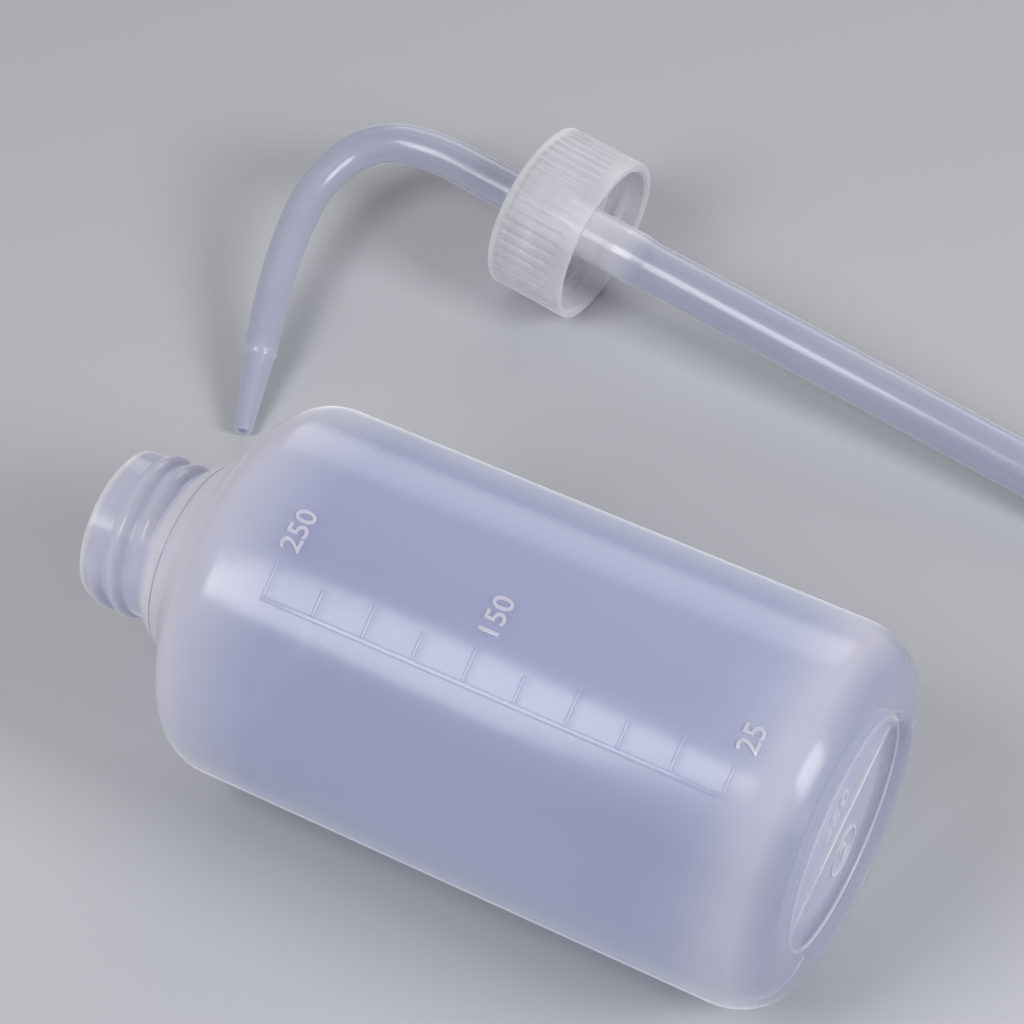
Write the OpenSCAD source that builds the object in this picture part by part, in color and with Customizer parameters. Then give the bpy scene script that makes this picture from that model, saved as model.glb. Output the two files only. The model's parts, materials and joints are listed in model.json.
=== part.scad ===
// Laboratory wash bottle lying open on a bench. The squeeze bottle lies on its side with its
// mouth towards -X. Behind it lies its head: a screw cap that turns on a bent spout, with a dip
// tube pushed over the spout's spigot. Millimetres, Z up, the bench at Z = 0.

/* [Bottle] */
// Outer diameter of the body
body_d = 63; // [56:0.5:76]
// Height from the foot to the lip
bottle_h = 132; // [108:1:165]
// Thickness of the blown wall
wall = 1.1; // [0.8:0.05:1.6]
// Radius of the corner round the foot
foot_corner_r = 11; // [6:0.5:14]
// Radius of the corner between shoulder and side
shoulder_corner_r = 8; // [5:0.5:10]
// Slope of the shoulder, measured from the bottle's axis
shoulder_a = 60; // [50:1:68]
// Radius of the hollow curve that leads into the neck
shoulder_cove_r = 14.4; // [10:0.2:18]
// Depth of the pushed-up base panel
base_depth = 3.4; // [1.5:0.1:5]
// Width of the flat ring that the bottle stands on
foot_flat_w = 0.9; // [0.6:0.1:1.5]
// Angle of the mould's parting plane, seen along the axis
parting_a = 70; // [0:1:180]

/* [Volume rule] */
// Angle of the rule's line round the bottle, from the side that lies on top
rule_a = -37.5; // [-60:0.5:60]
// Height of the lowest tick above the foot
rule_foot = 14.9; // [13:0.1:20]
// Distance between two ticks
rule_step = 8.55; // [7:0.05:12]
// Distance that the rule keeps from the shoulder
rule_clear = 4; // [0:0.5:12]
// Length of the ticks at whole fifties
long_tick = 6.1; // [4:0.1:8]
// Length of the ticks between them
short_tick = 4.9; // [3:0.1:6]
// Width of the rule's line
rule_w = 0.8; // [0.5:0.05:1.2]
// Width of a tick
tick_w = 0.55; // [0.4:0.05:1]
// How far the rule's line stands out from the side
rule_rise = 0.22; // [0.1:0.02:0.4]
// How far a tick stands out from the side
tick_rise = 0.18; // [0.1:0.02:0.4]

/* [Neck] */
// Inner diameter of the mouth
mouth_d = 22.8; // [18:0.2:28]
// Wall between the mouth and the thread's root
neck_wall = 1.4; // [1.1:0.05:2]
// Height from the shoulder's crease to the lip
neck_h = 15.4; // [13:0.1:20]
// How far the collar stands out from the neck
collar_w = 3.2; // [2.4:0.1:4]
// Height of the collar's flare
collar_h = 4; // [3:0.1:5]
// Radius of the collar's flare in section
collar_flare_r = 11; // [8:0.5:16]

/* [Thread] */
// Rise in one turn
thread_pitch = 3.85; // [3:0.05:4.5]
// Height of the ridge
thread_h = 1; // [0.6:0.05:1.2]
// Number of turns
thread_turns = 2; // [1:0.25:2]
// Distance from the lip to the start of the ridge
thread_start = 2.7; // [2.2:0.1:3.5]
// Clearance between the neck's ridge and the cap
thread_play = 0.3; // [0.15:0.05:0.5]

/* [Cap] */
// Thickness of the cap's wall
cap_wall = 1.7; // [1.4:0.05:2.4]
// Thickness of the cap's top
cap_top = 1.7; // [1.2:0.1:2.5]
// Radius of the cap's top edge
cap_edge_r = 1.6; // [0.8:0.1:2.2]
// Number of grip grooves
groove_count = 50; // [30:1:60]
// Radius of one grip groove
groove_r = 0.65; // [0.4:0.05:0.8]
// Depth of the grip grooves
groove_depth = 0.5; // [0.3:0.05:0.6]
// Height of the plain band at the cap's open rim
band_h = 2.6; // [1.5:0.1:4]

/* [Spout] */
// Outer diameter of the spout where it leaves the cap
spout_root_d = 8; // [6.5:0.1:10]
// Outer diameter of the spout at its nozzle
spout_end_d = 6.1; // [5.4:0.1:6.6]
// Wall of the spout
spout_wall = 1.1; // [0.8:0.05:1.2]
// Straight length between the cap and the bend
spout_straight = 15.3; // [10:0.5:25]
// Radius of the tight part of the bend
bend_r = 13.3; // [11:0.1:20]
// Straight length between the bend and the nozzle
spout_reach = 10.4; // [6:0.2:20]
// Length of the nozzle
nozzle_l = 15.5; // [10:0.5:22]
// Outer diameter of the nozzle at its root
nozzle_root_d = 5.6; // [5:0.1:6]
// Outer diameter of the nozzle at its tip
nozzle_tip_d = 3.3; // [2.8:0.1:4]
// Inner diameter of the nozzle at its tip
nozzle_hole_d = 1.7; // [1.2:0.1:2]
// Thickness of the sealing flange under the cap's top
flange_t = 1.5; // [1:0.1:2]
// Length of the spigot below the flange
spigot_l = 18.5; // [12:0.5:24]
// Radial running clearance between the cap and the spout
journal_play = 0.06; // [0.02:0.01:0.1]

/* [Dip tube] */
// Outer diameter of the dip tube
dip_d = 9.1; // [7.5:0.1:10.5]
// Wall of the dip tube
dip_wall = 1; // [0.8:0.05:1.2]
// How far the spigot stretches the tube's radius
dip_stretch = 0.3; // [0.15:0.05:0.4]
// Gap left between the tube's end and the bottle's base
dip_end_gap = 1.5; // [0.5:0.1:5]

/* [Layout] */
// Clear distance between the bottle's side and the cap's axis
head_gap = 78; // [65:1:110]
// Distance from the bottle's lip to the cap's open rim, along the bottle
head_along = 32.7; // [0:0.5:60]
// Turn of the head away from the bottle's direction
head_yaw = -4.7; // [-10:0.1:10]

/* [Hidden] */

bottle_tint = [0.80, 0.82, 0.92];
cap_tint = [0.87, 0.87, 0.91];
tube_tint = [0.76, 0.79, 0.90];

round_fn = 96;
tube_sides = 20;
thread_steps = 24;
groove_fn = 24;
cut = 1;

// Bottle, drawn upright with its foot at z = 0
body_r = body_d / 2;
neck_core_r = mouth_d / 2 + neck_wall;
neck_thread_r = neck_core_r + thread_h;
crease_r = neck_core_r + collar_w;
crease_z = bottle_h - neck_h;
lip_chamfer = 0.4;

// The shoulder is a corner, a cone and a hollow curve that ends at the crease
crease_a = 31.4;
shoulder_n = [cos(shoulder_a), sin(shoulder_a)];
cove_c = [
    crease_r + shoulder_cove_r * cos(crease_a),
    crease_z + shoulder_cove_r * sin(crease_a)
];
cone_top = cove_c - shoulder_cove_r * shoulder_n;
cone_foot_r = body_r - shoulder_corner_r * (1 - cos(shoulder_a));
cone_rise = (cone_foot_r - cone_top.x) / tan(shoulder_a);
shoulder_z = cone_top.y - cone_rise - shoulder_corner_r * sin(shoulder_a);
shoulder_c = [body_r - shoulder_corner_r, shoulder_z];

// The collar flares in one arc from the thread's root to the crease
collar_chord = norm([collar_w, collar_h]);
collar_out = [collar_h, collar_w] / collar_chord;
collar_mid = [neck_core_r + collar_w / 2, crease_z + collar_h / 2];
collar_c = collar_mid - sqrt(pow(collar_flare_r, 2) - pow(collar_chord / 2, 2)) * collar_out;

// The base panel is pushed up inside the foot ring
panel_foot_r = body_r - foot_corner_r - foot_flat_w;
panel_draft = 1;
seam_w = 0.8;
seam_h = 0.5;

// The volume rule has as many ticks as fit below the shoulder
rule_ticks = floor((shoulder_z - rule_clear - rule_foot) / rule_step) + 1;
rule_l = rule_step * (rule_ticks - 1);

// Thread ridges are rounded in section and fade out at both ends
neck_ridge_w = 0.8 * thread_pitch;
cap_ridge_w = 0.55 * thread_pitch;
ridge_sink = 0.3;
ridge_parts = 6;
ridge_fade_a = 40;
ridge_end_h = 0.3;
neck_ridge_a = -61;
cap_ridge_a = 90;
cap_ridge_turns = 1.5;

// Cap, drawn with its open rim at z = 0
cap_root_r = neck_thread_r + thread_play;
cap_r = cap_root_r + cap_wall;
rim_chamfer = 0.5;
rim_gap = 0.4;
rim_r = cap_root_r + rim_chamfer;
rim_stop = collar_c.y + sqrt(pow(collar_flare_r, 2) - pow(rim_r - collar_c.x, 2)) - crease_z;
skirt_h = neck_h - rim_stop - rim_gap;
top_play = 0.12;
cap_inner_h = skirt_h + flange_t + top_play;
cap_h = cap_inner_h + cap_top;

// Spout: sections are [across, along, heading, length so far]
journal_r = spout_root_d / 2;
spigot_r = dip_d / 2 - dip_wall + dip_stretch;
stem_bore_r = min(journal_r, spigot_r) - spout_wall;
flange_play = 0.4;
flange_r = cap_root_r - thread_h - flange_play;
flange_z = skirt_h;
bead_w = 0.5;
bead_t = 1;
bead_z = cap_h + top_play;
tube_z = bead_z + bead_t / 2;
tube_lap = 0.04;
bend_z = cap_h + spout_straight;
bend_arcs = [[3 * bend_r, 15], [bend_r, 55], [1.85 * bend_r, 32], [7.5 * bend_r, 12]];
step_a = 5;
end_r = spout_end_d / 2;
end_bore_r = 2.2;
end_bead_w = 0.12;
end_bead_l = 0.5;
nozzle_root_r = nozzle_root_d / 2;
nozzle_root_bore_r = 1.8;
nozzle_step_l = 0.7;
nozzle_tip_r = nozzle_tip_d / 2;
nozzle_bore_r = nozzle_hole_d / 2;
tip_chamfer = 0.25;

function arc_sections(from, radius, sweep) =
    let (count = max(2, ceil(sweep / step_a)))
    [for (i = [1 : count])
        let (turn = sweep * i / count)
        [
            from[0] + radius * (cos(from[2]) - cos(from[2] + turn)),
            from[1] + radius * (sin(from[2] + turn) - sin(from[2])),
            from[2] + turn,
            from[3] + radius * turn * PI / 180
        ]
    ];

function bend_sections(from, arcs, i = 0) =
    i == len(arcs) ? [] :
    let (here = arc_sections(from, arcs[i][0], arcs[i][1]))
    concat(here, bend_sections(here[len(here) - 1], arcs, i + 1));

function ahead(from, distance) = [
    from[0] + distance * sin(from[2]),
    from[1] + distance * cos(from[2]),
    from[2],
    from[3] + distance
];

bend_start = [0, bend_z, 0, bend_z - tube_z];
bend = bend_sections(bend_start, bend_arcs);
bend_end = bend[len(bend) - 1];
nozzle_root = ahead(bend_end, spout_reach);
nozzle_tip = ahead(nozzle_root, nozzle_l);
taper_l = nozzle_root[3];

function tube_r(at) = journal_r - tube_lap + (end_r - journal_r) * at[3] / taper_l;
function tube_bore(at) = stem_bore_r - tube_lap + (end_bore_r - stem_bore_r) * at[3] / taper_l;

spout_rings = concat(
    [for (at = concat([[0, tube_z, 0, 0], bend_start], bend)) [at, tube_r(at), tube_bore(at)]],
    [
        [ahead(nozzle_root, -2 * end_bead_l), end_r, end_bore_r],
        [ahead(nozzle_root, -end_bead_l), end_r + end_bead_w, end_bore_r],
        [nozzle_root, end_r + end_bead_w, end_bore_r],
        [ahead(nozzle_root, nozzle_step_l), nozzle_root_r, nozzle_root_bore_r],
        [ahead(nozzle_tip, -tip_chamfer), nozzle_tip_r, nozzle_bore_r],
        [nozzle_tip, nozzle_tip_r - tip_chamfer, nozzle_bore_r]
    ]
);

// Dip tube, from the flange down to just above the base panel
dip_r = dip_d / 2;
dip_bore_r = dip_r - dip_wall;
dip_l = bottle_h - base_depth - wall - dip_end_gap;
dip_free = dip_l - skirt_h;
sleeve_lap = 1;
sleeve_z = flange_z - spigot_l - sleeve_lap;
sleeve_taper_l = 3;

// The head lies on three points: the cap's rim, the tube's end and the nozzle's tip
head_tilt = atan((cap_r - dip_r) / dip_free);
head_droop = asin(
    (cap_r * cos(head_tilt) + nozzle_tip[1] * sin(head_tilt) - nozzle_tip_r)
    / (nozzle_tip[0] * cos(head_tilt))
);
head_turn = [0, 90 - head_tilt, 180 + head_yaw];

// Places on the bench, before the whole is centred on the origin
rim_x = head_along;
rim_y = body_r + head_gap;
rim_z = cap_r * cos(head_tilt);

function turn_y(p, a) = [p.x * cos(a) + p.z * sin(a), p.y, p.z * cos(a) - p.x * sin(a)];
function turn_z(p, a) = [p.x * cos(a) - p.y * sin(a), p.x * sin(a) + p.y * cos(a), p.z];
function lay(p) = turn_z(turn_y(turn_z(p, 90 - head_droop), head_turn.y), head_turn.z);
function bench(p) = [rim_x, rim_y, rim_z] + lay(p);

spout_reach_x = min([for (ring = spout_rings) bench([ring[0][0], 0, ring[0][1]]).x - ring[1]]);
dip_end = bench([0, 0, -dip_free]);
cap_back = bench([0, 0, cap_h - cap_edge_r]);
span_x = [spout_reach_x, max(bottle_h, dip_end.x + dip_r * sin(head_tilt))];
span_y = [-body_r, cap_back.y + cap_r * cos(head_yaw)];
centre = [(span_x[0] + span_x[1]) / 2, (span_y[0] + span_y[1]) / 2];

module lay_bottle() {
    translate([bottle_h - centre.x, -centre.y, body_r]) rotate([0, -90, 0]) children();
}

module lay_head() {
    translate([rim_x - centre.x, rim_y - centre.y, rim_z]) rotate(head_turn) children();
}

// A helical ridge with a rounded crest, out from radius r, or in where out is -1
module thread_ridge(r, out, width, z_top, start_a, turns) {
    count = ceil(turns * thread_steps);
    foot_w = width * sqrt(1 + ridge_sink / thread_h);
    section = [
        for (j = [0 : ridge_parts])
            let (u = 2 * j / ridge_parts - 1)
            [u * foot_w / 2, (thread_h + ridge_sink) * (1 - u * u) - ridge_sink]
    ];
    corners = len(section);
    points = [
        for (i = [0 : count])
            let (
                swept = 360 * turns * i / count,
                left = 360 * turns - swept,
                grow = min(1, min(swept, left) / ridge_fade_a + ridge_end_h),
                a = start_a - swept
            )
            for (p = section)
                let (
                    rise = p.y > 0 ? p.y * grow : p.y,
                    radius = r + out * rise
                )
                [
                    radius * cos(a),
                    radius * sin(a),
                    z_top - thread_pitch * swept / 360 + p.x * (1 + grow) / 2
                ]
    ];
    walls = [
        for (i = [0 : count - 1])
            for (j = [0 : corners - 1])
                let (
                    a = i * corners + j,
                    b = i * corners + (j + 1) % corners
                )
                each out > 0
                    ? [[b, a, b + corners], [b + corners, a, a + corners]]
                    : [[a, b, b + corners], [a, b + corners, a + corners]]
    ];
    first = [for (j = [0 : corners - 1]) j];
    last = [for (j = [0 : corners - 1]) count * corners + j];
    ends = out > 0 ? [first, reverse(last)] : [reverse(first), last];
    polyhedron(points = points, faces = concat(walls, ends));
}

function reverse(list) = [for (i = [len(list) - 1 : -1 : 0]) list[i]];

// Half section of the closed bottle form, drawn smaller by inset
module vessel_section(inset) {
    side_r = body_r - inset;
    corner_r = shoulder_corner_r - inset;
    cone_foot = shoulder_c + corner_r * shoulder_n;
    top = cone_top - inset * shoulder_n;
    translate([0, foot_corner_r]) square([side_r, shoulder_z - foot_corner_r]);
    translate([0, inset]) square([body_r - foot_corner_r, foot_corner_r + cut]);
    translate([body_r - foot_corner_r, foot_corner_r]) circle(foot_corner_r - inset);
    translate(shoulder_c) circle(corner_r);
    polygon([
        [0, shoulder_z - cut], [shoulder_c.x, shoulder_z - cut], shoulder_c, cone_foot, top,
        [0, top.y]
    ]);
}

module outer_section() {
    vessel_section(0);
    difference() {
        polygon([
            [0, cone_top.y - cut], [cone_top.x, cone_top.y - cut], cone_top,
            [crease_r, crease_z], [0, crease_z]
        ]);
        translate(cove_c) circle(shoulder_cove_r);
    }
    intersection() {
        translate(collar_c) circle(collar_flare_r);
        translate([0, crease_z - collar_h]) square([crease_r, 2 * collar_h]);
    }
    polygon([
        [0, crease_z - cut], [neck_core_r, crease_z - cut],
        [neck_core_r, bottle_h - lip_chamfer],
        [neck_core_r - lip_chamfer, bottle_h], [0, bottle_h]
    ]);
}

module inner_section() {
    bore_r = mouth_d / 2;
    top = cone_top - wall * shoulder_n;
    meet_z = top.y + (top.x - bore_r) / tan(shoulder_a);
    vessel_section(wall);
    polygon([
        [0, top.y - cut], [top.x, top.y - cut], top, [bore_r, meet_z],
        [bore_r, bottle_h + cut], [0, bottle_h + cut]
    ]);
}

// Section of the space under the pushed-up base, drawn larger by grow
module base_hollow(grow) {
    top_r = panel_foot_r - panel_draft;
    polygon([
        [0, -cut], [panel_foot_r + grow, -cut], [panel_foot_r + grow, 0],
        [top_r + grow, base_depth + grow], [0, base_depth + grow]
    ]);
}

function tick_l(i) =
    i == 0 ? (short_tick + long_tick) / 2 :
    i % 2 == 0 ? short_tick : long_tick;

// A rib on the bottle's side, as deep in the wall as it stands out: length round the side
module side_rib(start, length, height, rise) {
    rotate(rule_a + start / body_r * 180 / PI)
        rotate_extrude(angle = length / body_r * 180 / PI, $fn = round_fn)
            translate([body_r - rise, 0]) square([2 * rise, height]);
}

// The lowest tick is between a short and a long one, and above it they take turns
module volume_rule() {
    translate([0, 0, rule_foot - rule_w / 2])
        side_rib(-rule_w / 2, rule_w, rule_l + rule_w, rule_rise);
    for (i = [0 : rule_ticks - 1])
        translate([0, 0, rule_foot + i * rule_step - tick_w / 2])
            side_rib(0, tick_l(i), tick_w, tick_rise);
}

module bottle() {
    seam_l = 2 * (panel_foot_r - panel_draft);
    color(bottle_tint) lay_bottle() {
        rotate_extrude($fn = round_fn) difference() {
            outer_section();
            difference() {
                inner_section();
                base_hollow(wall);
            }
            base_hollow(0);
        }
        thread_ridge(
            neck_core_r, 1, neck_ridge_w, bottle_h - thread_start, neck_ridge_a, thread_turns
        );
        rotate(parting_a) translate([-seam_l / 2, -seam_w / 2, base_depth - seam_h])
            cube([seam_l, seam_w, seam_h + wall / 2]);
        volume_rule();
    }
}

module screw_cap() {
    groove_at = cap_r + groove_r - groove_depth;
    color(cap_tint) lay_head() {
        difference() {
            rotate_extrude($fn = round_fn) difference() {
                union() {
                    square([cap_r, cap_h - cap_edge_r]);
                    square([cap_r - cap_edge_r, cap_h]);
                    translate([cap_r - cap_edge_r, cap_h - cap_edge_r]) circle(cap_edge_r);
                }
                translate([0, -cut]) square([cap_root_r, cap_inner_h + cut]);
                polygon([
                    [0, -cut], [rim_r, -cut], [rim_r, 0], [cap_root_r, rim_chamfer],
                    [0, rim_chamfer]
                ]);
                square([journal_r + journal_play, cap_h + cut]);
            }
            translate([0, 0, band_h]) linear_extrude(cap_h - cap_edge_r - band_h)
                for (i = [0 : groove_count - 1])
                    rotate(i * 360 / groove_count) translate([groove_at, 0])
                        circle(groove_r, $fn = groove_fn);
        }
        thread_ridge(
            cap_root_r, -1, cap_ridge_w, flange_z - thread_start, cap_ridge_a, cap_ridge_turns
        );
    }
}

// A hollow tube through rings of [place, outer radius, inner radius]
module tube_through(rings) {
    turns = [for (k = [0 : tube_sides - 1]) 360 * k / tube_sides];
    last = len(rings) - 1;
    shell = 2 * tube_sides;
    points = [
        for (ring = rings)
            for (r = [ring[1], ring[2]])
                for (a = turns)
                    [
                        ring[0][0] + r * cos(a) * cos(ring[0][2]),
                        r * sin(a),
                        ring[0][1] - r * cos(a) * sin(ring[0][2])
                    ]
    ];
    walls = [
        for (i = [0 : last - 1])
            for (k = [0 : tube_sides - 1])
                let (
                    n = (k + 1) % tube_sides,
                    a = i * shell + k,
                    b = i * shell + n,
                    c = a + shell,
                    d = b + shell,
                    e = tube_sides
                )
                each [[a, c, d], [a, d, b], [a + e, b + e, d + e], [a + e, d + e, c + e]]
    ];
    ends = [
        for (k = [0 : tube_sides - 1])
            let (
                n = (k + 1) % tube_sides,
                e = tube_sides,
                z = last * shell
            )
            each [
                [k, n, n + e], [k, n + e, k + e],
                [z + k, z + n + e, z + n], [z + k, z + k + e, z + n + e]
            ]
    ];
    polyhedron(points = points, faces = concat(walls, ends));
}

module spout() {
    color(tube_tint) lay_head() rotate(90 - head_droop) {
        rotate_extrude($fn = round_fn) polygon([
            [stem_bore_r, flange_z - spigot_l], [spigot_r, flange_z - spigot_l],
            [spigot_r, flange_z], [flange_r, flange_z], [flange_r, flange_z + flange_t],
            [journal_r, flange_z + flange_t], [journal_r, bead_z],
            [journal_r + bead_w, bead_z], [journal_r + bead_w, bead_z + bead_t],
            [stem_bore_r, bead_z + bead_t]
        ]);
        tube_through(spout_rings);
    }
}

module dip_tube() {
    narrow_z = sleeve_z - sleeve_taper_l;
    color(tube_tint) lay_head() rotate_extrude($fn = round_fn) polygon([
        [spigot_r, flange_z], [spigot_r, sleeve_z], [dip_bore_r, narrow_z],
        [dip_bore_r, -dip_free], [dip_r, -dip_free], [dip_r, narrow_z],
        [spigot_r + dip_wall, sleeve_z], [spigot_r + dip_wall, flange_z]
    ]);
}

bottle();
screw_cap();
spout();
dip_tube();
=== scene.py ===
import json
import math

import bmesh
import bpy
from mathutils import Matrix, Vector


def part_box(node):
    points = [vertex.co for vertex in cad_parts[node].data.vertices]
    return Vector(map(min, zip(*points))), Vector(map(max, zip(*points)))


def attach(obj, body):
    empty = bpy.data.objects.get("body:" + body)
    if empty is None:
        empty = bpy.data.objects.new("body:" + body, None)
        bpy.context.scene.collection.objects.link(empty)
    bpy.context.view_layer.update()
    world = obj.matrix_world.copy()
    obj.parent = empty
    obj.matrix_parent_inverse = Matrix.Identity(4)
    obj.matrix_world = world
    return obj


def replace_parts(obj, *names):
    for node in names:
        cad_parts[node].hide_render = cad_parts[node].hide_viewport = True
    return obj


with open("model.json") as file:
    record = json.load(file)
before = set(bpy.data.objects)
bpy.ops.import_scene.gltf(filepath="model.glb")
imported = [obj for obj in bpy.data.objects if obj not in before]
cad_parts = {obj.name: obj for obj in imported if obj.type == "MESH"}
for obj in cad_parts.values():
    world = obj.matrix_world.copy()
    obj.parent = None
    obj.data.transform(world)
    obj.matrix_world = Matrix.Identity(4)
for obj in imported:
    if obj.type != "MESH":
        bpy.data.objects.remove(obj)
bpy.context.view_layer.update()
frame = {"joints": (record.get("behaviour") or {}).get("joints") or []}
print("stage: frame loaded")

# Pieces are shaped in millimetres and brought to metres where they are placed
mm = 0.001
whole = 2 * math.pi


def makeCamera():
    view = {
        "azimuth": 28.39, "elevation": 49.62, "distance": 573.56, "aim": (-18.2, 8.47, 0),
        "lens": 114.03, "sensor": 36,
    }
    turn, rise = math.radians(view["azimuth"]), math.radians(view["elevation"])
    back = Vector((math.sin(turn) * math.cos(rise), -math.cos(turn) * math.cos(rise), math.sin(rise)))
    right = Vector((math.cos(turn), math.sin(turn), 0))
    up = back.cross(right)
    data = bpy.data.cameras.new("benchCamera")
    data.lens, data.sensor_width, data.sensor_fit = view["lens"], view["sensor"], "HORIZONTAL"
    data.clip_start, data.clip_end = 0.01, 20
    camera = bpy.data.objects.new("benchCamera", data)
    bpy.context.scene.collection.objects.link(camera)
    camera.matrix_world = Matrix.Translation((Vector(view["aim"]) + view["distance"] * back) * mm) @ (
        Matrix((right, up, back)).transposed().to_4x4()
    )
    bpy.context.scene.camera = camera


makeCamera()


# Meshes

def arc(centre, radius, start, end, steps):
    turns = [math.radians(start + (end - start) * i / steps) for i in range(steps + 1)]
    return [(centre[0] + radius * math.cos(a), centre[1] + radius * math.sin(a)) for a in turns]


def roundPath(corners):
    # Each corner is (r, z, fillet radius)
    points = []
    for i, (r, z, fillet) in enumerate(corners):
        here = Vector((r, z))
        if fillet == 0 or i in (0, len(corners) - 1):
            points.append((r, z))
            continue
        toLast = (Vector(corners[i - 1][:2]) - here).normalized()
        toNext = (Vector(corners[i + 1][:2]) - here).normalized()
        half = toLast.angle(toNext) / 2
        centre = here + (toLast + toNext).normalized() * fillet / math.sin(half)
        start = here + toLast * fillet / math.tan(half) - centre
        end = here + toNext * fillet / math.tan(half) - centre
        sweep = start.angle_signed(end)
        steps = max(3, math.ceil(abs(math.degrees(sweep)) / 7))
        for k in range(steps + 1):
            spoke = start.copy()
            spoke.rotate(Matrix.Rotation(-sweep * k / steps, 2))
            points.append(tuple(centre + spoke))
    return points


def stretch(start, end, step):
    count = max(1, math.ceil((Vector(end) - Vector(start)).length / step))
    return [tuple(Vector(start).lerp(Vector(end), i / count)) for i in range(count + 1)]


def denser(points, step):
    line = [points[0]]
    for start, end in zip(points, points[1:]):
        line += stretch(start, end, step)[1:]
    return line


def spun(section, steps, closed=False):
    # A section of (r, z) points turned round the z axis
    bm = bmesh.new()
    verts = [bm.verts.new((r, 0, z)) for r, z in section]
    edges = [bm.edges.new(pair) for pair in zip(verts, verts[1:])]
    if closed:
        edges.append(bm.edges.new((verts[-1], verts[0])))
    bmesh.ops.spin(bm, geom=verts + edges, cent=(0, 0, 0), axis=(0, 0, 1), angle=whole, steps=steps,
                   use_merge=True, use_duplicate=False)
    bmesh.ops.remove_doubles(bm, verts=bm.verts, dist=1e-4)
    bmesh.ops.recalc_face_normals(bm, faces=bm.faces)
    return bm


def swept(ring, places):
    # A closed ring of points carried through places, and its first and last loops
    bm = bmesh.new()
    verts = [bm.verts.new(places[0] @ Vector(p)) for p in ring]
    firstLoop = loop = [bm.edges.new(pair) for pair in zip(verts, verts[1:] + verts[:1])]
    for last, place in zip(places, places[1:]):
        made = bmesh.ops.extrude_edge_only(bm, edges=loop)["geom"]
        loop = [g for g in made if isinstance(g, bmesh.types.BMEdge)]
        moved = [g for g in made if isinstance(g, bmesh.types.BMVert)]
        bmesh.ops.transform(bm, matrix=place @ last.inverted(), verts=moved)
    return bm, firstLoop, loop


def ramp(value, low, high):
    return min(1, max(0, (value - low) / (high - low)))


def finished(bm, name, place, body, material, sharp=38, milkAt=None, clearAt=None):
    # milkAt gives how white the plastic is at a point, mostly from how thick it is and in places as painted
    # light, clearAt how clear it is
    milk, clear = bm.verts.layers.float.new("milk"), bm.verts.layers.float.new("clear")
    for vert in bm.verts:
        vert[milk] = milkAt(vert.co) if milkAt else 0
        vert[clear] = clearAt(vert.co) if clearAt else 0
    bmesh.ops.transform(bm, matrix=Matrix.Scale(mm, 4) @ place, verts=bm.verts)
    mesh = bpy.data.meshes.new(name)
    bm.to_mesh(mesh)
    bm.free()
    mesh.shade_smooth()
    mesh.set_sharp_from_angle(angle=math.radians(sharp))
    mesh.materials.append(material)
    piece = bpy.data.objects.new(name, mesh)
    bpy.context.scene.collection.objects.link(piece)
    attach(piece, body)
    print("made", name, len(mesh.polygons), "faces")
    return piece


def threadHeight(thread, turnAngle, drop):
    # Height of a helical ridge at an angle, drop below the plane that it starts in
    best = 0
    turned = math.degrees(thread["start"] - turnAngle) % 360
    while turned <= 360 * thread["turns"]:
        aside = (drop - thread["pitch"] * turned / 360) / (thread["width"] / 2)
        left = 360 * thread["turns"] - turned
        grow = min(1, min(turned, left) / thread["fade"] + 0.1)
        if abs(aside) < 1:
            best = max(best, thread["height"] * grow * (1 - aside * aside))
        turned += 360
    return best


# Places

bottleLow, bottleHigh = (Vector(c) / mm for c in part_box("bottle"))
bottleAxis = Vector((0, (bottleLow.y + bottleHigh.y) / 2, (bottleLow.z + bottleHigh.z) / 2))
bottlePlace = (
    Matrix.Translation((bottleHigh.x, bottleAxis.y, bottleAxis.z)) @ Matrix.Rotation(-math.pi / 2, 4, "Y")
)
turnJoint = frame["joints"][0]
headAxis = Vector(turnJoint["axis"])
headPlace = (
    Matrix.Translation(Vector(turnJoint["pos_m"]) / mm)
    @ Matrix.Rotation(math.atan2(headAxis.y, headAxis.x), 4, "Z")
    @ Matrix.Rotation(math.pi / 2 - math.asin(headAxis.z), 4, "Y")
)
spoutDroop = math.radians(15.3)
spoutPlace = headPlace @ Matrix.Rotation(math.pi / 2 - spoutDroop, 4, "Z")
bottleBody, capBody = "bottle_and_tubes", "cap"


# Materials

# What all these plastics share: the grain spreads the roughness below and above its value, the wall
# hides more from one slant to the other, and a clear place keeps this share of its cover
everyPlastic = {
    "ior": 1.5, "noiseDetail": 1, "smoother": 0.05, "rougher": 0.07, "bumpDepth": 0.0001, "blend": 0.5,
    "slantFrom": 0.1, "slantTo": 0.9, "clearCover": 0.4, "sheenRoughness": 0.3,
    "sheenTint": (0.93, 0.94, 1, 1),
}


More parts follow.
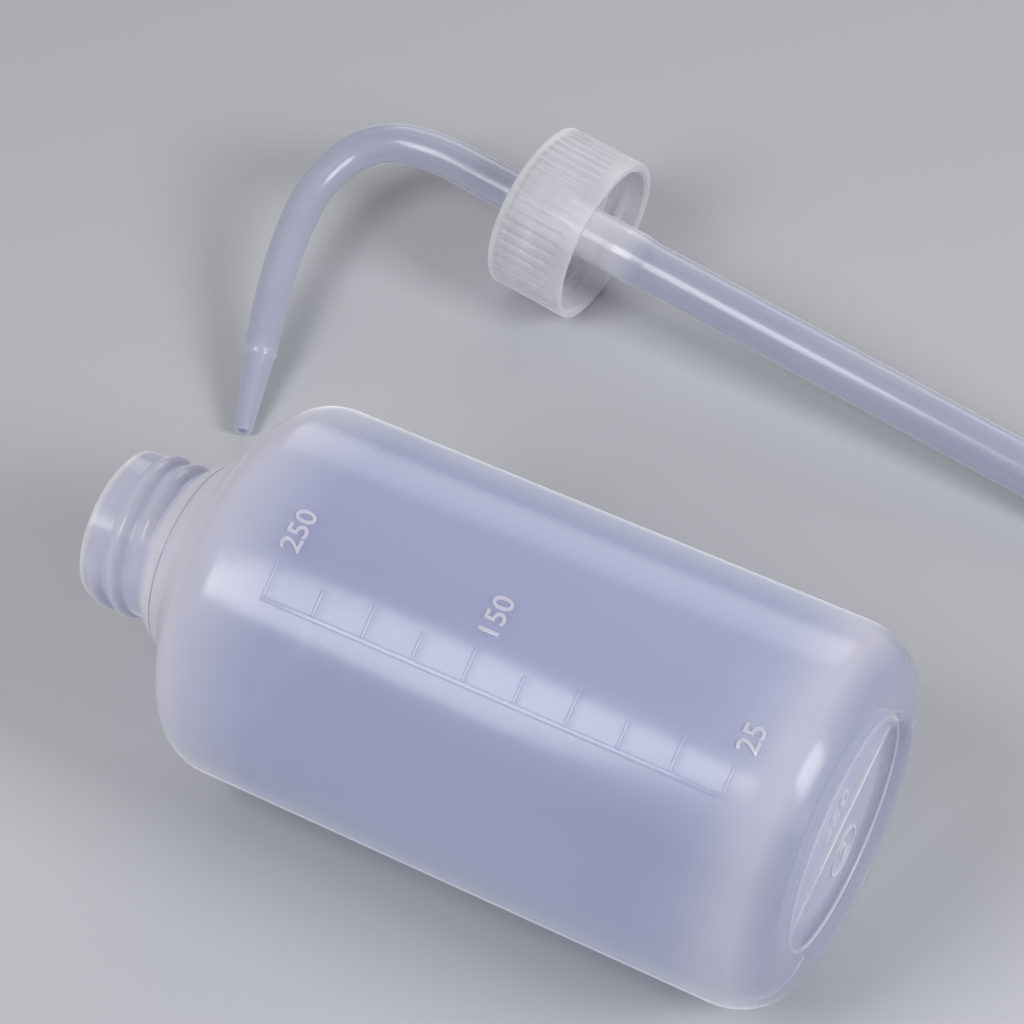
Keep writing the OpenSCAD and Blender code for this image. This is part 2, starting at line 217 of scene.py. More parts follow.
def plastic(name, look):
    every = everyPlastic
    material = bpy.data.materials.new(name)
    material.use_nodes = True
    nodes, links = material.node_tree.nodes, material.node_tree.links
    shader = nodes["Principled BSDF"]
    where = nodes.new("ShaderNodeTexCoord")
    cloud = nodes.new("ShaderNodeTexNoise")
    cloud.inputs["Scale"].default_value = look["cloudScale"]
    cloud.inputs["Detail"].default_value = every["noiseDetail"]
    links.new(where.outputs["Object"], cloud.inputs["Vector"])
    tint = nodes.new("ShaderNodeMix")
    tint.data_type = "RGBA"
    tint.inputs["A"].default_value = (*look["colour"], 1)
    tint.inputs["B"].default_value = (*look["cloudColour"], 1)
    links.new(cloud.outputs["Fac"], tint.inputs["Factor"])
    thick = nodes.new("ShaderNodeAttribute")
    thick.attribute_name = "milk"
    whiten = nodes.new("ShaderNodeMix")
    whiten.data_type = "RGBA"
    whiten.inputs["B"].default_value = (*look["milkColour"], 1)
    links.new(thick.outputs["Fac"], whiten.inputs["Factor"])
    links.new(tint.outputs["Result"], whiten.inputs["A"])
    links.new(whiten.outputs["Result"], shader.inputs["Base Color"])
    grain = nodes.new("ShaderNodeTexNoise")
    grain.inputs["Scale"].default_value = look["grainScale"]
    grain.inputs["Detail"].default_value = every["noiseDetail"]
    links.new(where.outputs["Object"], grain.inputs["Vector"])
    gloss = nodes.new("ShaderNodeMapRange")
    gloss.inputs["To Min"].default_value = look["roughness"] - every["smoother"]
    gloss.inputs["To Max"].default_value = look["roughness"] + every["rougher"]
    links.new(grain.outputs["Fac"], gloss.inputs["Value"])
    links.new(gloss.outputs["Result"], shader.inputs["Roughness"])
    bump = nodes.new("ShaderNodeBump")
    bump.inputs["Strength"].default_value = look["bump"]
    bump.inputs["Distance"].default_value = every["bumpDepth"]
    links.new(grain.outputs["Fac"], bump.inputs["Height"])
    links.new(bump.outputs["Normal"], shader.inputs["Normal"])
    shader.inputs["IOR"].default_value = every["ior"]
    # The wall is seen through head on and hides more the more aslant it is seen
    slant = nodes.new("ShaderNodeLayerWeight")
    slant.inputs["Blend"].default_value = every["blend"]
    cover = nodes.new("ShaderNodeMapRange")
    cover.inputs["From Min"].default_value = every["slantFrom"]
    cover.inputs["From Max"].default_value = every["slantTo"]
    cover.inputs["To Min"].default_value = look["alpha"]
    cover.inputs["To Max"].default_value = look["edgeAlpha"]
    links.new(slant.outputs["Facing"], cover.inputs["Value"])
    dense = nodes.new("ShaderNodeMath")
    dense.operation, dense.use_clamp = "MULTIPLY_ADD", True
    dense.inputs[1].default_value = look["milkCover"]
    links.new(thick.outputs["Fac"], dense.inputs[0])
    links.new(cover.outputs["Result"], dense.inputs[2])
    clear = nodes.new("ShaderNodeAttribute")
    clear.attribute_name = "clear"
    thin = nodes.new("ShaderNodeMapRange")
    thin.inputs["To Min"].default_value, thin.inputs["To Max"].default_value = 1, every["clearCover"]
    links.new(clear.outputs["Fac"], thin.inputs["Value"])
    seen = nodes.new("ShaderNodeMath")
    seen.operation = "MULTIPLY"
    links.new(dense.outputs["Value"], seen.inputs[0])
    links.new(thin.outputs["Result"], seen.inputs[1])
    links.new(seen.outputs["Value"], shader.inputs["Alpha"])
    shader.inputs["Coat Weight"].default_value = look["coat"]
    shader.inputs["Coat Roughness"].default_value = look["coatRoughness"]
    shader.inputs["Sheen Weight"].default_value = look["sheen"]
    shader.inputs["Sheen Roughness"].default_value = every["sheenRoughness"]
    shader.inputs["Sheen Tint"].default_value = every["sheenTint"]
    return material


bottlePlastic = plastic("bottlePlastic", {
    "colour": (0.47, 0.51, 0.76), "cloudColour": (0.56, 0.59, 0.82), "milkColour": (0.88, 0.84, 0.90),
    "cloudScale": 14, "grainScale": 1300, "roughness": 0.2, "bump": 0.07, "alpha": 0.42, "edgeAlpha": 0.9,
    "milkCover": 0.2, "sheen": 1, "coat": 0.3, "coatRoughness": 0.13,
})
# Pale plastic of the base rib and marks, also of the ring that paints the panel edge's highlight
edgePlastic = plastic("edgePlastic", {
    "colour": (0.84, 0.83, 0.89), "cloudColour": (0.90, 0.89, 0.93), "milkColour": (0.92, 0.91, 0.94),
    "cloudScale": 80, "grainScale": 1500, "roughness": 0.3, "bump": 0.04, "alpha": 0.75, "edgeAlpha": 0.95,
    "milkCover": 0, "sheen": 0.6, "coat": 0.3, "coatRoughness": 0.2,
})
capPlastic = plastic("capPlastic", {
    "colour": (0.78, 0.77, 0.83), "cloudColour": (0.86, 0.85, 0.90), "milkColour": (0.92, 0.91, 0.94),
    "cloudScale": 60, "grainScale": 1500, "roughness": 0.46, "bump": 0.06, "alpha": 0.4, "edgeAlpha": 0.92,
    "milkCover": 0.3, "sheen": 1, "coat": 0.08, "coatRoughness": 0.35,
})
tubePlastic = plastic("tubePlastic", {
    "colour": (0.52, 0.54, 0.71), "cloudColour": (0.61, 0.62, 0.76), "milkColour": (0.86, 0.85, 0.90),
    "cloudScale": 40, "grainScale": 1500, "roughness": 0.22, "bump": 0.05, "alpha": 0.42, "edgeAlpha": 0.95,
    "milkCover": 0.5, "sheen": 1, "coat": 0.7, "coatRoughness": 0.12,
})


# Bottle

bottleShape = {
    "bodyR": bottleAxis.z, "height": bottleHigh.x - bottleLow.x, "wall": 1.1, "footCorner": 11,
    "shoulderCorner": 8, "shoulderSlope": 60, "coveR": 14.4, "coveEnd": 31.4, "panelDepth": 3.4,
    "panelR": 19.6, "panelDraft": 1, "coreR": 12.8, "boreR": 11.4, "creaseR": 16, "creaseDepth": 0.25,
    "neckHeight": 15.4, "collarHeight": 4, "collarR": 11, "lipHeight": 3, "lipCorner": 0.7,
    "rowStep": 6, "neckStep": 0.25, "steps": 240,
}
neckThread = {"start": math.radians(-61), "turns": 2, "pitch": 3.85, "width": 3.1, "height": 1, "fade": 40,
              "lipDrop": 2.7}


def outerLine():
    s = bottleShape
    slope = math.radians(s["shoulderSlope"])
    outward = Vector((math.cos(slope), math.sin(slope)))
    creaseZ = s["height"] - s["neckHeight"]
    coveC = Vector((s["creaseR"], creaseZ)) + s["coveR"] * Vector(
        (math.cos(math.radians(s["coveEnd"])), math.sin(math.radians(s["coveEnd"]))))
    coneTop = coveC - s["coveR"] * outward
    sideTopZ = coneTop.y - (s["bodyR"] - coneTop.x) / math.tan(slope)
    outer = roundPath([
        (0, s["panelDepth"], 0), (s["panelR"] - s["panelDraft"], s["panelDepth"], 0.6),
        (s["panelR"], 0, 0.4), (s["bodyR"], 0, s["footCorner"]), (s["bodyR"], sideTopZ, s["shoulderCorner"]),
        (*coneTop, 0),
    ])
    outer += arc(coveC, s["coveR"], 180 + s["shoulderSlope"], 180 + s["coveEnd"], 8)[1:-1]
    # The line where the shoulder meets the collar is a fine groove
    outer += arc(coveC, s["coveR"], 180 + s["coveEnd"] + 1.5, 180 + s["coveEnd"] + 0.8, 1)
    outer.append((s["creaseR"] - s["creaseDepth"], creaseZ))
    collarTop = creaseZ + s["collarHeight"]
    chord = Vector((s["coreR"] - s["creaseR"], s["collarHeight"]))
    middle = Vector((s["creaseR"], creaseZ)) + chord / 2
    collarC = middle - math.sqrt(s["collarR"] ** 2 - (chord.length / 2) ** 2) * Vector(
        (chord.y, -chord.x)).normalized()
    startA = math.degrees(math.atan2(creaseZ - collarC.y, s["creaseR"] - collarC.x))
    endA = math.degrees(math.atan2(collarTop - collarC.y, s["coreR"] - collarC.x))
    outer += arc(collarC, s["collarR"], startA + 1, startA + 2.5, 1)
    outer += arc(collarC, s["collarR"], startA + 2.5, endA, 9)[1:]
    return denser(outer, s["rowStep"]), coneTop - s["wall"] * outward


def bottleSections():
    s = bottleShape
    outer, coneIn = outerLine()
    tanSlope = math.tan(math.radians(s["shoulderSlope"]))
    outer += stretch(outer[-1], (s["coreR"], s["height"] - s["lipCorner"]), s["neckStep"])[1:]
    lip = roundPath([
        (s["coreR"], s["height"] - s["lipCorner"], 0), (s["coreR"], s["height"], 0.5),
        (s["boreR"], s["height"], 0.35), (s["boreR"], s["height"] - s["lipHeight"], 0),
    ])
    sideIn = s["bodyR"] - s["wall"]
    inner = roundPath([
        (s["boreR"], s["height"] - s["lipHeight"], 0),
        (s["boreR"], coneIn.y + (coneIn.x - s["boreR"]) / tanSlope, 4),
        (sideIn, coneIn.y - (sideIn - coneIn.x) / tanSlope, s["shoulderCorner"] - s["wall"]),
        (sideIn, s["wall"], s["footCorner"] - s["wall"]),
        (s["panelR"] + 0.9, s["wall"], 0.3),
        (s["panelR"] + 0.1, s["panelDepth"] + s["wall"], 0.8),
        (0, s["panelDepth"] + s["wall"], 0),
    ])
    return outer + lip[1:] + denser(inner, s["rowStep"])[1:]


# Where the bottle is thick and looks milky, with a painted highlight at the lip and a painted shade line at
# the crease: how much, and between which heights, depths or radii
bottleWhite = {
    "lipFrom": 1.6, "lipTo": 0.8, "neck": 0.35, "ridges": 0.15, "crease": 0.05, "collar": 0.85,
    "collarLoss": 0.5, "collarFrom": 2, "shoulder": 0.75, "shoulderFrom": 90, "shoulderTo": 108,
    "foot": 0.6, "footFrom": 19, "footTo": 7, "rimLoss": 0.6, "rimFrom": 7, "rimTo": 4,
    "clearFrom": 10, "clearTo": 3, "clearInner": 17, "clearOuter": 18,
}


def bottleMilkAndPaintedLight(co):
    # Thick and white at the shoulder, collar and foot corner, white at the lip as thick rim and painted
    # highlight, a painted shade line at the crease, thin and blue elsewhere
    s, w = bottleShape, bottleWhite
    radius = math.hypot(co.x, co.y)
    creaseZ = s["height"] - s["neckHeight"]
    if co.z > creaseZ + s["collarHeight"]:
        # The lip band is partly the thick rim, partly a painted highlight along the mouth's edge
        lip = ramp(co.z, s["height"] - w["lipFrom"], s["height"] - w["lipTo"])
        return max(lip, w["neck"] + w["ridges"] * ramp(radius, s["coreR"], s["coreR"] + neckThread["height"]))
    # A narrow band at the crease gets no white: a painted shade line along the groove
    if abs(co.z - creaseZ) < w["crease"]:
        return 0
    if co.z > creaseZ:
        faded = ramp(co.z, creaseZ + w["collarFrom"], creaseZ + s["collarHeight"])
        return w["collar"] - w["collarLoss"] * faded
    shoulder = w["shoulder"] * ramp(co.z, w["shoulderFrom"], w["shoulderTo"])
    foot = w["foot"] * ramp(co.z, w["footFrom"], w["footTo"]) * (
        1 - w["rimLoss"] * ramp(co.z, w["rimFrom"], w["rimTo"]))
    return max(shoulder, foot)


def bottleClear(co):
    # What is raised on the base shows through the foot
    w = bottleWhite
    return ramp(co.z, w["clearFrom"], w["clearTo"]) * ramp(
        math.hypot(co.x, co.y), w["clearInner"], w["clearOuter"])


def makeBottle():
    s = bottleShape
    bm = spun(bottleSections(), s["steps"])
    for vert in bm.verts:
        radius = math.hypot(vert.co.x, vert.co.y)
        if vert.co.z < s["height"] - s["neckHeight"] or radius < s["coreR"] - 0.01:
            continue
        drop = s["height"] - neckThread["lipDrop"] - vert.co.z
        ridge = s["coreR"] + threadHeight(neckThread, math.atan2(vert.co.y, vert.co.x), drop)
        if ridge > radius:
            vert.co.xy = vert.co.xy * ridge / radius
    return finished(bm, "bottleShell", bottlePlace, bottleBody, bottlePlastic, 50,
                    bottleMilkAndPaintedLight, bottleClear)


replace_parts(makeBottle(), "bottle")
print("stage: bottle")


# Screw cap

capShape = {
    "r": 15.8, "rootR": 14.1, "innerH": 14.386, "height": 16.086, "edgeR": 1.6, "holeR": 4.06, "band": 2.6,
    "grooves": 50, "grooveR": 0.62, "grooveDepth": 0.32, "grooveEnd": 0.6, "steps": 600,
    "rimWhite": 0.15, "topWhite": 0.7,
}
capThread = {"start": math.radians(90), "turns": 1.5, "pitch": 3.85, "width": 2.12, "height": 1, "fade": 40,
             "rimRise": 10.07}


def grooveDepthAt(s, turnAngle, z):
    pitch = whole / s["grooves"]
    across = abs((turnAngle + pitch / 2) % pitch - pitch / 2) * s["r"]
    if across >= s["grooveR"] or z < s["band"] - 0.01 or z > s["height"] - s["edgeR"] + 0.01:
        return 0
    ends = min(1, (z - s["band"]) / s["grooveEnd"], (s["height"] - s["edgeR"] - z) / s["grooveEnd"])
    return s["grooveDepth"] * (1 - (across / s["grooveR"]) ** 2) ** 1.5 * max(0, ends)


def makeCap():
    s = capShape
    knurlTop = s["height"] - s["edgeR"]
    section = stretch((s["rootR"], s["innerH"] - 0.3), (s["rootR"], 0.5), 0.3)
    section += roundPath([(s["rootR"], 0.5, 0), (s["rootR"] + 0.5, 0, 0.2), (s["r"], 0, 0.35),
                          (s["r"], s["band"], 0)])[1:]
    section += [(s["r"], s["band"] + 0.2), (s["r"], s["band"] + 0.4), (s["r"], s["band"] + 0.6)]
    section += stretch((s["r"], s["band"] + 0.6), (s["r"], knurlTop - 0.6), 1.5)[1:]
    section += [(s["r"], knurlTop - 0.4), (s["r"], knurlTop - 0.2), (s["r"], knurlTop)]
    section += roundPath([(s["r"], knurlTop, 0), (s["r"], s["height"], s["edgeR"]),
                          (s["holeR"], s["height"], 0.2), (s["holeR"], s["innerH"], 0.1),
                          (s["rootR"] - 0.3, s["innerH"], 0)])[2:]
    bm = spun(section, s["steps"], closed=True)
    for vert in bm.verts:
        radius = math.hypot(vert.co.x, vert.co.y)
        angle = math.atan2(vert.co.y, vert.co.x)
        if radius > s["r"] - 0.01:
            vert.co.xy = vert.co.xy * (radius - grooveDepthAt(s, angle, vert.co.z)) / radius
        elif abs(radius - s["rootR"]) < 0.01:
            ridge = threadHeight(capThread, angle, capThread["rimRise"] - vert.co.z)
            vert.co.xy = vert.co.xy * (radius - ridge) / radius

    def capMilkAndHighlight(co):
        # The thick ring between top and skirt looks whiter; the rim's outer edge is whitened partly as thick
        # plastic, partly as a painted highlight along its outline
        radius = math.hypot(co.x, co.y)
        # The rim's outer edge: partly thick plastic, partly a painted highlight
        rim = ramp(co.z, 1.2, 0.3) * ramp(radius, s["r"] - 0.5, s["r"] - 0.1)
        return max(s["rimWhite"] * rim, ramp(co.z, s["innerH"] - 1, s["innerH"] + 0.5) * s["topWhite"])

    return finished(bm, "ribbedCap", headPlace, capBody, capPlastic, 35, capMilkAndHighlight)


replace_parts(makeCap(), "screw_cap")
print("stage: cap")


# Spout

spoutShape = {
    "flangeZ": 12.766, "flangeT": 1.5, "flangeR": 12.7, "spigotL": 18.5, "spigotR": 3.85, "stemBore": 2.75,
    "rootR": 4, "endR": 3.05, "endBore": 2.2, "beadZ": 16.206, "bendZ": 31.386, "bendR": 13.3, "reach": 10.4,
    "nozzleL": 15.5, "nozzleRootR": 2.8, "nozzleRootBore": 1.8, "tipR": 1.65, "tipBore": 0.85,
    "around": 56, "stepWhite": 0.25, "nozzleWhite": 0.05, "rootWhite": 0.8,
    # Each bend as its share of bendR and its angle
    "bends": ((3, 15), (1, 55), (1.85, 32), (7.5, 12)),
}


def spoutPath(s):
    # Stations as (x, z, heading, length along), from the straight stem to the nozzle's tip
    x, z, heading, length = 0.0, s["bendZ"], 0.0, s["bendZ"]
    stations = [(0, s["bendZ"], 0, length)]
    for factor, sweep in s["bends"]:
        radius = factor * s["bendR"]
        steps = math.ceil(sweep / 2.5)
        for _ in range(steps):
            turn = math.radians(sweep) / steps
            x += radius * (math.cos(heading) - math.cos(heading + turn))
            z += radius * (math.sin(heading + turn) - math.sin(heading))
            heading += turn
            length += radius * turn
            stations.append((x, z, heading, length))
    return stations


def stationPlace(station, radius):
    x, z, heading, _ = station
    return Matrix.Translation((x, 0, z)) @ Matrix.Rotation(heading, 4, "Y") @ Matrix.Scale(radius, 4)


def ahead(station, distance):
    x, z, heading, length = station
    return (x + distance * math.sin(heading), z + distance * math.cos(heading), heading, length + distance)


def makeSpout():
    s = spoutShape
    curve = spoutPath(s)
    end = ahead(curve[-1], s["reach"])
    tip = ahead(end, s["nozzleL"])
    taperL = end[3] - s["beadZ"]

    def outerR(station):
        return s["rootR"] + (s["endR"] - s["rootR"]) * (station[3] - s["beadZ"]) / taperL

    def boreR(station):
        return s["stemBore"] + (s["endBore"] - s["stemBore"]) * (station[3] - s["beadZ"]) / taperL

    low = s["flangeZ"] - s["spigotL"]
    topF = s["flangeZ"] + s["flangeT"]
    stem = [(s["stemBore"] + 0.25, low), (s["spigotR"] - 0.2, low), (s["spigotR"], low + 0.3),
            (s["spigotR"], s["flangeZ"] - 0.05), (s["spigotR"] + 0.1, s["flangeZ"]),
            (s["flangeR"] - 0.1, s["flangeZ"]), (s["flangeR"], s["flangeZ"] + 0.1),
            (s["flangeR"], topF - 0.1), (s["flangeR"] - 0.1, topF), (s["rootR"] + 0.1, topF),
            (s["rootR"], topF + 0.1),
            (s["rootR"], s["beadZ"] - 0.05), (s["rootR"] + 0.4, s["beadZ"]),
            (s["rootR"] + 0.5, s["beadZ"] + 0.15), (s["rootR"] + 0.45, s["beadZ"] + 0.7),
            (s["rootR"] + 0.15, s["beadZ"] + 1), (s["rootR"], s["beadZ"] + 1.3)]
    rings = [((0, z, 0, z), r) for r, z in stem]
    straight = [(0, z, 0, z) for _, z in stretch((0, s["beadZ"] + 2), (0, s["bendZ"] - 1), 2.5)]
    rings += [(at, outerR(at)) for at in straight + curve]
    rings += [(at, outerR(at)) for at in (ahead(end, -d) for d in (8, 5.5, 3, 1.1))]
    rings += [(ahead(end, -0.8), s["endR"] + 0.09), (ahead(end, -0.5), s["endR"] + 0.12),
              (ahead(end, -0.1), s["endR"] + 0.1), (ahead(end, 0.05), s["endR"] - 0.02),
              (ahead(end, 0.4), s["nozzleRootR"] + 0.08), (ahead(end, 0.7), s["nozzleRootR"])]
    for k in range(1, 6):
        share = k / 5
        rings.append((ahead(end, 0.7 + (s["nozzleL"] - 1.0) * share),
                      s["nozzleRootR"] + (s["tipR"] - s["nozzleRootR"]) * share))
    rings += [(ahead(tip, -0.08), s["tipR"] - 0.07), (tip, s["tipR"] - 0.22), (tip, s["tipBore"] + 0.1),
              (ahead(tip, -0.1), s["tipBore"])]
    rings += [(ahead(end, 0.8), s["nozzleRootBore"]), (end, s["endBore"])]
    rings += [(at, boreR(at)) for at in reversed(straight + curve)]
    rings.append(((0, low + 0.3, 0, low + 0.3), s["stemBore"]))

    circle = [(x, y, 0) for x, y in arc((0, 0), 1, 0, 360, s["around"])[:-1]]
    bm, firstLoop, lastLoop = swept(circle, [stationPlace(station, radius) for station, radius in rings])
    bmesh.ops.bridge_loops(bm, edges=firstLoop + lastLoop)
    bmesh.ops.recalc_face_normals(bm, faces=bm.faces)

    def spoutMilk(co):
        # Whiter at the root and at the step before the nozzle
        past = (co.x - end[0]) * math.sin(end[2]) + (co.z - end[1]) * math.cos(end[2])
        near = math.hypot(co.x - end[0], co.z - end[1]) < 20
        step = near * max(s["stepWhite"] * ramp(abs(past), 1.2, 0.2), s["nozzleWhite"] * ramp(past, 0, 1))
        root = s["rootWhite"] * ramp(co.z, s["beadZ"] + 3, s["beadZ"] + 0.5) * (co.x < 2 * s["rootR"])
        return max(step, root)

    return finished(bm, "bentSpout", spoutPlace, bottleBody, tubePlastic, 40, spoutMilk)


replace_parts(makeSpout(), "spout")
print("stage: spout")


# Dip tube

dipShape = {
    "r": 4.55, "boreR": 3.55, "sleeveR": 4.85, "sleeveBore": 3.86, "topZ": 12.766, "sleeveZ": -6.734,
    "taper": 3, "free": 113.234, "rowStep": 1.5, "steps": 96,
}


def makeDipTube():
    s = dipShape
    narrowZ = s["sleeveZ"] - s["taper"]
    end = -s["free"]
    section = roundPath([
        (s["sleeveBore"], s["topZ"], 0), (s["sleeveBore"], s["sleeveZ"], 3), (s["boreR"], narrowZ, 3),
        (s["boreR"], end, 0.15), (s["r"], end, 0.2), (s["r"], narrowZ, 3), (s["sleeveR"], s["sleeveZ"], 3),
        (s["sleeveR"], s["topZ"], 0),
    ])
    inside = stretch(section[0], (s["sleeveBore"], 0), s["rowStep"])
    outside = stretch((s["sleeveR"], 0), section[-1], s["rowStep"])
    section = inside + section[1:-1] + outside

    def dipMilk(co):
        # The spigot inside makes the end of the tube look cloudy
        return ramp(co.z, s["sleeveZ"] - 1.5, s["sleeveZ"] + 3.5)

    bm = spun(section, s["steps"], closed=True)
    return finished(bm, "dipTube", headPlace, bottleBody, tubePlastic, milkAt=dipMilk)


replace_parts(makeDipTube(), "dip_tube")
print("stage: dip tube")


# Moulded marks on the bottle

markShape = {
    "line": -37.5, "firstTick": 40.15, "tickStep": 8.55, "ticks": 10, "longTick": 6.1, "shortTick": 4.9,
    "lineW": 0.8, "tickW": 0.55, "rise": 0.22, "sink": 0.1, "edge": 0.12, "digitH": 3.4,
    "digitDrop": 0.65, "ruleWhite": 0.1, "digitWhite": 0.8,
    # Words, the tick they stand at, and how far from the line they start and end
    "numbers": (("250", 0, 8.2, 15.2), ("150", 4, 8.5, 14.7), ("25", 9, 7.2, 11.5)),
}


def onSide(along, across, rise):
    # A place on the bottle's side: along from the lip, across from the volume rule's line towards the top
    turn = math.radians(markShape["line"]) + across / bottleShape["bodyR"]
    radius = bottleShape["bodyR"] + rise
    return Vector((radius * math.cos(turn), radius * math.sin(turn), bottleShape["height"] - along))


def rib(start, end, width):
    # A low rib with rounded edges, start and end as (along, across)
    length = math.hypot(end[0] - start[0], end[1] - start[1])
    turn = math.atan2(end[1] - start[1], end[0] - start[0])
    bm = bmesh.new()
    bmesh.ops.create_cube(bm, size=1)
    bmesh.ops.scale(bm, vec=(length, width, markShape["rise"] + markShape["sink"]), verts=bm.verts)
    tops = [e for e in bm.edges if all(v.co.z > 0 for v in e.verts)]
    bmesh.ops.bevel(bm, geom=tops, offset=markShape["edge"], offset_type="OFFSET", segments=2, profile=0.5,
                    affect="EDGES", material=-1)
    runs = [e for e in bm.edges if abs(e.verts[0].co.x - e.verts[1].co.x) > length / 2]
    bmesh.ops.subdivide_edges(bm, edges=runs, cuts=8)
    for v in bm.verts:
        x, y = v.co.x + length / 2, v.co.y
        rise = v.co.z + (markShape["rise"] - markShape["sink"]) / 2
        v.co = onSide(start[0] + x * math.cos(turn) - y * math.sin(turn),
                      start[1] + x * math.sin(turn) + y * math.cos(turn), rise)
    bmesh.ops.recalc_face_normals(bm, faces=bm.faces)
    return bm


def joined(parts):
    bm = bmesh.new()
    for part in parts:
        mesh = bpy.data.meshes.new("part")
        part.to_mesh(mesh)
        part.free()
        bm.from_mesh(mesh)
        bpy.data.meshes.remove(mesh)
    return bm


def makeRule():
    m = markShape
    last = m["firstTick"] + m["tickStep"] * (m["ticks"] - 1)
    parts = [rib((m["firstTick"] - 0.3, 0), (last + 0.3, 0), m["lineW"])]
    for i in range(m["ticks"]):
        along = m["firstTick"] + m["tickStep"] * i
        reach = m["longTick"] if i % 2 == 0 else m["shortTick"]
        parts.append(rib((along, 0.3), (along, reach), m["tickW"]))
    return finished(joined(parts), "volumeRule", bottlePlace, bottleBody, bottlePlastic,
                    milkAt=lambda co: m["ruleWhite"])


def digitMesh(words, height, thick):
    curve = bpy.data.curves.new("digits", "FONT")
    curve.body, curve.size = words, height / 0.7
    curve.extrude, curve.bevel_depth, curve.bevel_resolution = thick / 2, 0.05, 1
    curve.resolution_u = 4
    curve.align_x, curve.align_y = "LEFT", "CENTER"
    text = bpy.data.objects.new("digits", curve)
    bpy.context.scene.collection.objects.link(text)
    bpy.context.view_layer.update()
    mesh = bpy.data.meshes.new_from_object(text.evaluated_get(bpy.context.evaluated_depsgraph_get()))
    bpy.data.objects.remove(text)
    bm = bmesh.new()
    bm.from_mesh(mesh)
    bpy.data.meshes.remove(mesh)
    bmesh.ops.remove_doubles(bm, verts=bm.verts, dist=1e-4)
    return bm


def makeNumbers():
    m = markShape
    parts = []
    for words, tick, left, right in m["numbers"]:
        bm = digitMesh(words, m["digitH"], m["rise"])
        edges = [v.co.x for v in bm.verts]
        narrow = (right - left) / (max(edges) - min(edges))
        fit = Matrix.Diagonal((narrow, 1, 1, 1)) @ Matrix.Translation((-min(edges), 0, 0))
        bmesh.ops.transform(bm, matrix=fit, verts=bm.verts)
        along = m["firstTick"] + m["tickStep"] * tick + m["digitDrop"]
        for v in bm.verts:
            v.co = onSide(along - v.co.y, left + v.co.x, v.co.z + m["rise"] / 2)
        parts.append(bm)
    return finished(joined(parts), "volumeNumbers", bottlePlace, bottleBody, bottlePlastic,
                    milkAt=lambda co: m["digitWhite"])


makeRule()
makeNumbers()
print("stage: marks")


# Base panel and the line where the mould's halves met

baseShape = {
    "turn": 70, "ribW": 0.7, "ribH": 0.35, "sink": 0.15, "number": "250", "numberH": 4.4,
    "numberAway": 7.4, "ringR": 4.4, "ringW": 0.5, "ringAway": -10, "ringNumber": "2", "rise": 0.25,
    "edgeR": 19.3, "edgeDepth": 2.4, "edgeW": 0.32, "lineW": 0.34, "lineRise": 0.07, "lineSink": 0.12,
    "ribEdge": 0.15, "edgeSteps": 144, "ringSteps": 72,
}


def baseFace():
    # Looking at the panel from outside: x along the rib, y towards the side that lies on top
    turn = math.radians(baseShape["turn"])
    along = Vector((math.cos(turn), math.sin(turn), 0))
    up = Vector((math.sin(turn), -math.cos(turn), 0))
    place = Matrix((along, up, Vector((0, 0, -1)))).transposed().to_4x4()
    return Matrix.Translation((0, 0, bottleShape["panelDepth"])) @ place


def makeBaseRib():
    s = baseShape
    bm = bmesh.new()
    bmesh.ops.create_cube(bm, size=1)
    length = 2 * (bottleShape["panelR"] - bottleShape["panelDraft"]) - 0.4
    thick = s["ribH"] + s["sink"]
    bmesh.ops.scale(bm, vec=(length, s["ribW"], thick), verts=bm.verts)
    bmesh.ops.translate(bm, vec=(0, 0, s["ribH"] - thick / 2), verts=bm.verts)
    tops = [e for e in bm.edges if abs(e.verts[0].co.z - e.verts[1].co.z) < 0.1]
    bmesh.ops.bevel(bm, geom=tops, offset=s["ribEdge"], offset_type="OFFSET", segments=3, profile=0.5,
                    affect="EDGES", material=-1)
    # A pale ring inside the wall along the panel's edge: a painted highlight, the bright line that edge shows
    edgeLine = arc((s["edgeR"], bottleShape["panelDepth"] - s["edgeDepth"]), s["edgeW"], 0, 360, 10)[:-1]
    edge = spun(edgeLine, s["edgeSteps"], closed=True)
    return finished(joined([bm, edge]), "baseRib", bottlePlace @ baseFace(), bottleBody, edgePlastic)


def makeBaseMarks():
    s = baseShape
    parts = []
    for words, height, away in ((s["number"], s["numberH"], s["numberAway"]),
                                (s["ringNumber"], s["ringR"], s["ringAway"])):
        bm = digitMesh(words, height, s["rise"] + s["sink"])
        middle = sum((v.co.x for v in bm.verts), 0) / len(bm.verts)
        bmesh.ops.translate(bm, vec=(-middle, away, (s["rise"] - s["sink"]) / 2), verts=bm.verts)
        parts.append(bm)
    ring = bmesh.new()
    bmesh.ops.create_circle(ring, cap_ends=False, segments=s["ringSteps"], radius=s["ringR"])
    spokes = bmesh.ops.extrude_edge_only(ring, edges=ring.edges[:])["geom"]
    wide = [g for g in spokes if isinstance(g, bmesh.types.BMVert)]
    bmesh.ops.scale(ring, vec=Vector((1, 1, 0)) * (1 - s["ringW"] / s["ringR"]), verts=wide)
    raised = bmesh.ops.extrude_face_region(ring, geom=ring.faces[:])["geom"]
    bmesh.ops.translate(ring, vec=(0, 0, -s["rise"] - s["sink"]),
                        verts=[g for g in raised if isinstance(g, bmesh.types.BMVert)])
    bmesh.ops.translate(ring, vec=(0, s["ringAway"], s["rise"]), verts=ring.verts)
    bmesh.ops.recalc_face_normals(ring, faces=ring.faces)
    parts.append(ring)
    return finished(joined(parts), "baseMarks", bottlePlace @ baseFace(), bottleBody, edgePlastic)


